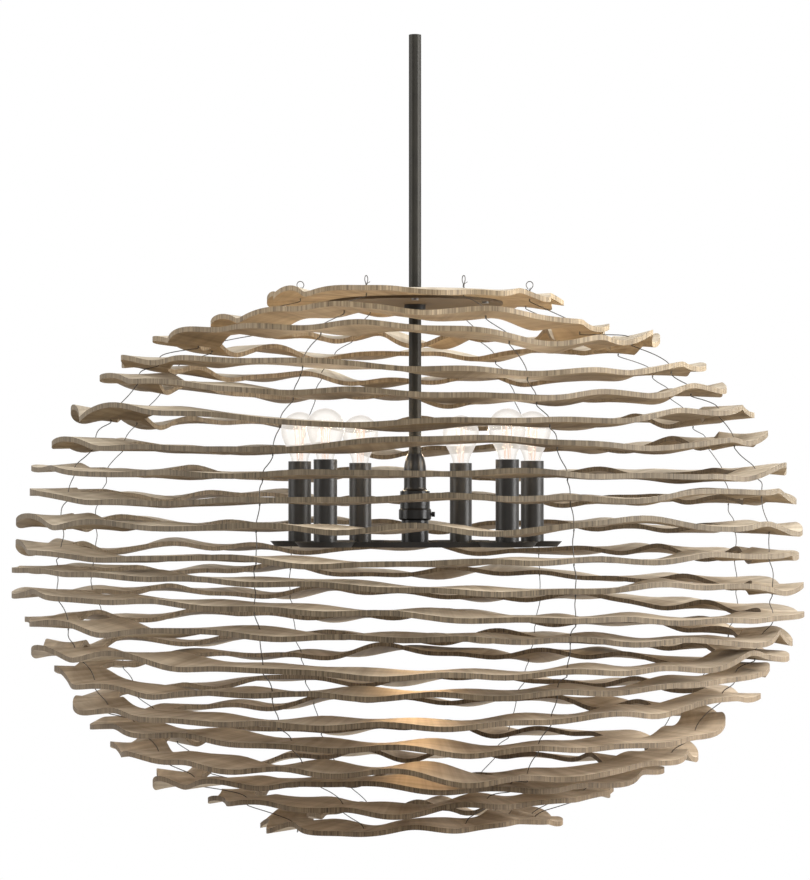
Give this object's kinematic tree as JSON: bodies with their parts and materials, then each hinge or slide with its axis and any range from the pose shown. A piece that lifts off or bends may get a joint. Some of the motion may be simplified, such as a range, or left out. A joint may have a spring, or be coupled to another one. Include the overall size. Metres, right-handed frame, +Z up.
{
  "type": "pendant light",
  "caption": "Pendant light with an ellipsoidal shade of wavy wooden rings hung on wires around a cluster of candle lamps on a down rod.",
  "frame": {"origin": "centre of the flat top end of the down rod", "axes": "+Z up along the rod, -Y towards the viewer of the picture, +X to the viewer's right"},
  "size_m": [0.8056, 0.8058, 0.8157],
  "materials": {
    "driftwood": "matte greyed wood",
    "bronze": "satin dark bronze",
    "black_steel": "satin black",
    "screw_steel": "dark plated",
    "wire": "darkened",
    "lead": "matte",
    "lamp_holder": "matte",
    "bulb_cap": "plain",
    "bulb_glass": "clear"
  },
  "bodies": {
    "stem": {"down_rod": "bronze", "bell_cap": "bronze", "hub_neck": "bronze", "hub_body": "bronze", "hub_collar": "bronze", "hub_base": "bronze", "lamp_plate": "bronze", "sleeve_1": "bronze", "sleeve_2": "bronze", "sleeve_3": "bronze", "sleeve_4": "bronze", "sleeve_5": "bronze", "sleeve_6": "bronze", "stop_collar": "black_steel", "plate_screws": "screw_steel", "lead_wires": "lead", "socket_1": "lamp_holder", "socket_2": "lamp_holder", "socket_3": "lamp_holder", "socket_4": "lamp_holder", "socket_5": "lamp_holder", "socket_6": "lamp_holder"},
    "shade": {"ring_01": "driftwood", "ring_02": "driftwood", "ring_03": "driftwood", "ring_04": "driftwood", "ring_05": "driftwood", "ring_06": "driftwood", "ring_07": "driftwood", "ring_08": "driftwood", "ring_09": "driftwood", "ring_10": "driftwood", "ring_11": "driftwood", "ring_12": "driftwood", "ring_13": "driftwood", "ring_14": "driftwood", "ring_15": "driftwood", "ring_16": "driftwood", "ring_17": "driftwood", "ring_18": "driftwood", "ring_19": "driftwood", "ring_20": "driftwood", "ring_21": "driftwood", "ring_22": "driftwood", "suspension_wires": "wire", "carrier_disc": "black_steel", "carrier_screws": "screw_steel"},
    "thumb_screw": {"hub_screw": "bronze"},
    "bulb_1": {"bulb_glass_1": "bulb_glass", "bulb_base_1": "bulb_cap"},
    "bulb_2": {"bulb_glass_2": "bulb_glass", "bulb_base_2": "bulb_cap"},
    "bulb_3": {"bulb_glass_3": "bulb_glass", "bulb_base_3": "bulb_cap"},
    "bulb_4": {"bulb_glass_4": "bulb_glass", "bulb_base_4": "bulb_cap"},
    "bulb_5": {"bulb_glass_5": "bulb_glass", "bulb_base_5": "bulb_cap"},
    "bulb_6": {"bulb_glass_6": "bulb_glass", "bulb_base_6": "bulb_cap"}
  },
  "joints": [
    {"name": "shade_turn", "type": "hinge", "parent": "stem", "child": "shade", "pos_m": [0, 0, -0.2764], "axis": [0, 0, 1], "continuous": true},
    {"name": "thumb_screw_turn", "type": "hinge", "parent": "stem", "child": "thumb_screw", "pos_m": [0.0166, 0, -0.491], "axis": [1, 0, 0], "range_deg": [0, 720]},
    {"name": "bulb_1_turn", "type": "hinge", "parent": "stem", "child": "bulb_1", "pos_m": [-0.11883, 0.0167, -0.4645], "axis": [0, 0, 1], "range_deg": [0, 1080]},
    {"name": "bulb_2_turn", "type": "hinge", "parent": "stem", "child": "bulb_2", "pos_m": [-0.08918, -0.0803, -0.4645], "axis": [0, 0, 1], "range_deg": [0, 1080]},
    {"name": "bulb_3_turn", "type": "hinge", "parent": "stem", "child": "bulb_3", "pos_m": [0.09193, -0.07713, -0.4645], "axis": [0, 0, 1], "range_deg": [0, 1080]},
    {"name": "bulb_4_turn", "type": "hinge", "parent": "stem", "child": "bulb_4", "pos_m": [0.11984, -0.00628, -0.4645], "axis": [0, 0, 1], "range_deg": [0, 1080]},
    {"name": "bulb_5_turn", "type": "hinge", "parent": "stem", "child": "bulb_5", "pos_m": [0.04881, 0.10963, -0.4645], "axis": [0, 0, 1], "range_deg": [0, 1080]},
    {"name": "bulb_6_turn", "type": "hinge", "parent": "stem", "child": "bulb_6", "pos_m": [-0.05818, 0.10495, -0.4645], "axis": [0, 0, 1], "range_deg": [0, 1080]}
  ]
}
